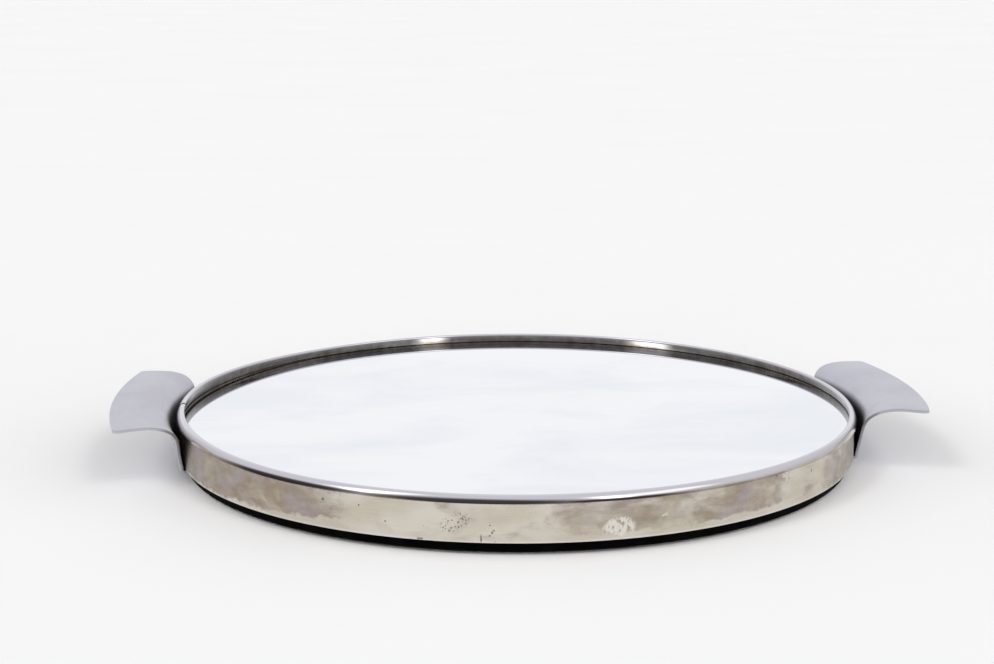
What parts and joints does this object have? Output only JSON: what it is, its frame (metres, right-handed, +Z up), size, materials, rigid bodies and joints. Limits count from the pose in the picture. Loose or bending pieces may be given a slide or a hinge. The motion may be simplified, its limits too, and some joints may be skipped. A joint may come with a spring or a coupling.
{
  "type": "mirror tray",
  "caption": "Round tray with a mirror top, a rolled metal rim with a domed bead, a recessed black plinth and a flared sheet-metal handle on each side.",
  "frame": {"origin": "centre of the underside, on the surface that the tray stands on", "axes": "+X through the right handle, +Z up, square to the mirror"},
  "size_m": [0.358, 0.3022, 0.0303],
  "materials": {
    "nickel_plate": "old nickel plate, polished bead, tarnished wall",
    "satin_plate": "satin nickel plate",
    "mirror_glass": "silvered plate glass",
    "grey_card": "plain",
    "board_wood": "raw, sawn round",
    "black_lacquer": "black lacquer, satin",
    "black_felt": "pressed felt",
    "screw_steel": "plain",
    "pin_brass": "plain"
  },
  "bodies": {
    "root": {"rim_hoop": "nickel_plate", "mirror_glass": "mirror_glass", "mirror_backing": "grey_card", "base_board": "board_wood", "base_plinth": "black_lacquer", "felt_pad": "black_felt", "handle_right": "satin_plate", "handle_left": "satin_plate", "handle_screw_right_1": "screw_steel", "handle_screw_right_2": "screw_steel", "handle_screw_right_3": "screw_steel", "handle_screw_left_1": "screw_steel", "handle_screw_left_2": "screw_steel", "handle_screw_left_3": "screw_steel", "plinth_screw_1": "screw_steel", "plinth_screw_2": "screw_steel", "plinth_screw_3": "screw_steel", "plinth_screw_4": "screw_steel", "plinth_screw_5": "screw_steel", "plinth_screw_6": "screw_steel", "hoop_pin_right_1": "pin_brass", "hoop_pin_right_2": "pin_brass", "hoop_pin_left_1": "pin_brass", "hoop_pin_left_2": "pin_brass"}
  },
  "joints": []
}
